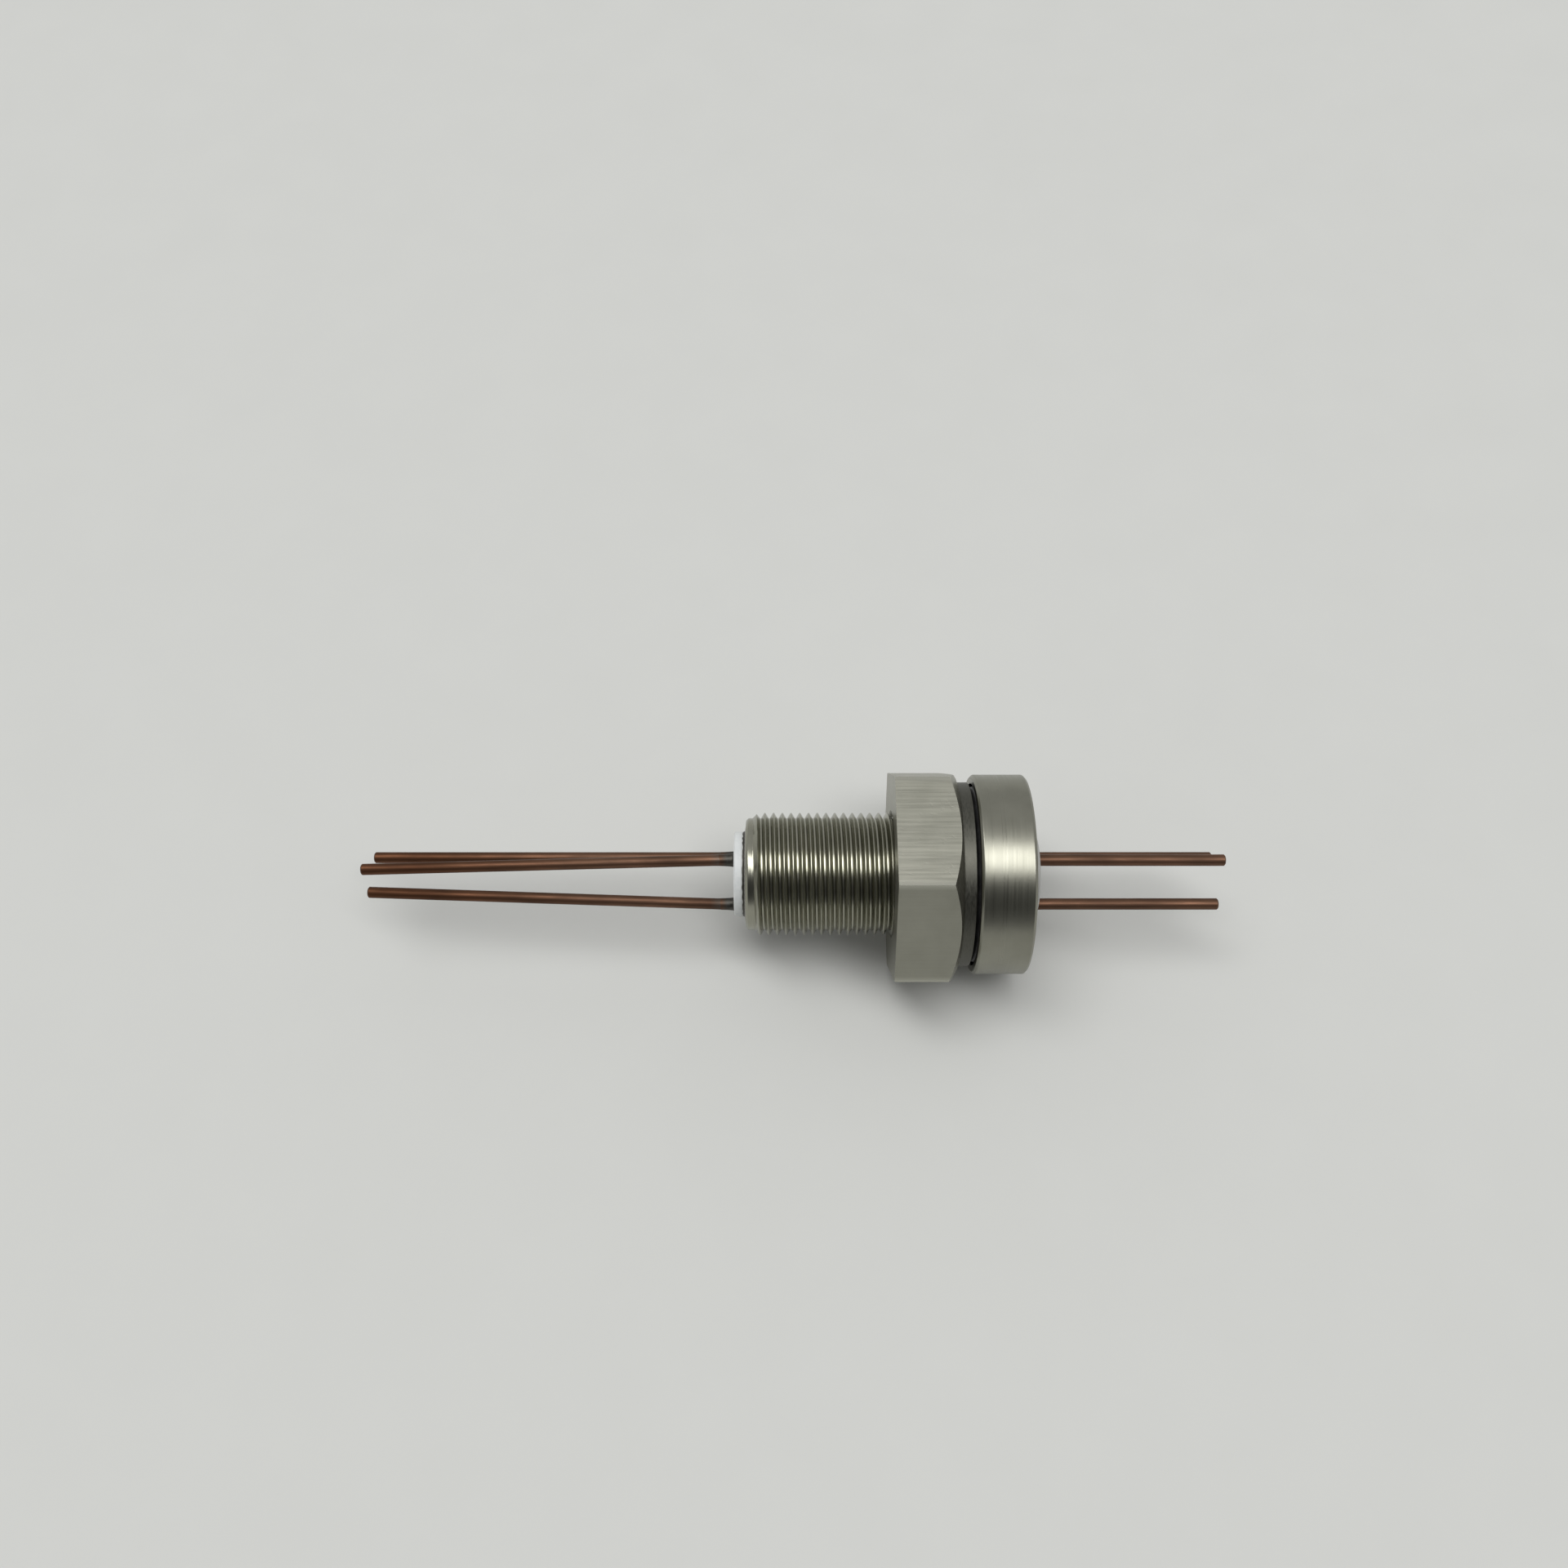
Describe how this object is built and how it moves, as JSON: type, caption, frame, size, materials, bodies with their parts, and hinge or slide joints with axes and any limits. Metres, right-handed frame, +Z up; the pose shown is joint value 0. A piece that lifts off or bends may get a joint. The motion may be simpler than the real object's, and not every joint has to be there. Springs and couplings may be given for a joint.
{
  "type": "vacuum feedthrough",
  "caption": "Electrical vacuum feedthrough: copper conductors brazed in a ceramic header in a flanged threaded steel shell, with hex nut, washer and O-ring for a hole through a chamber wall.",
  "frame": {"origin": "on the axis, in the plane of the flange's sealing face", "axes": "+X along the axis from the threaded end towards the flange end; +Z up, with one flat of the nut down; it lies on that flat and on the flange's rim"},
  "size_m": [0.1766, 0.0476, 0.0414],
  "materials": {
    "shell_steel": "turned stainless steel, dull, with a bright crest on each thread",
    "nut_steel": "milled stainless steel, dull",
    "washer_steel": "stamped stainless steel",
    "seal_rubber": "black fluorine rubber, satin",
    "alumina": "white alumina, ground",
    "copper": "drawn copper, dark with oxide",
    "braze_metal": "silver-copper braze, as flowed",
    "nickel_iron": "nickel-iron sheet, plain"
  },
  "bodies": {
    "root": {"flanged_shell": "shell_steel", "hex_nut": "nut_steel", "flat_washer": "washer_steel", "o_ring": "seal_rubber", "header_ceramic": "alumina", "weld_sleeve": "nickel_iron", "header_braze": "braze_metal", "guide_insulator": "alumina", "retaining_ring": "nickel_iron", "conductor_1": "copper", "pin_braze_1": "braze_metal", "eyelet_1": "nickel_iron", "insulator_1": "alumina", "conductor_2": "copper", "pin_braze_2": "braze_metal", "eyelet_2": "nickel_iron", "insulator_2": "alumina", "conductor_3": "copper", "pin_braze_3": "braze_metal", "eyelet_3": "nickel_iron", "insulator_3": "alumina"}
  },
  "joints": []
}
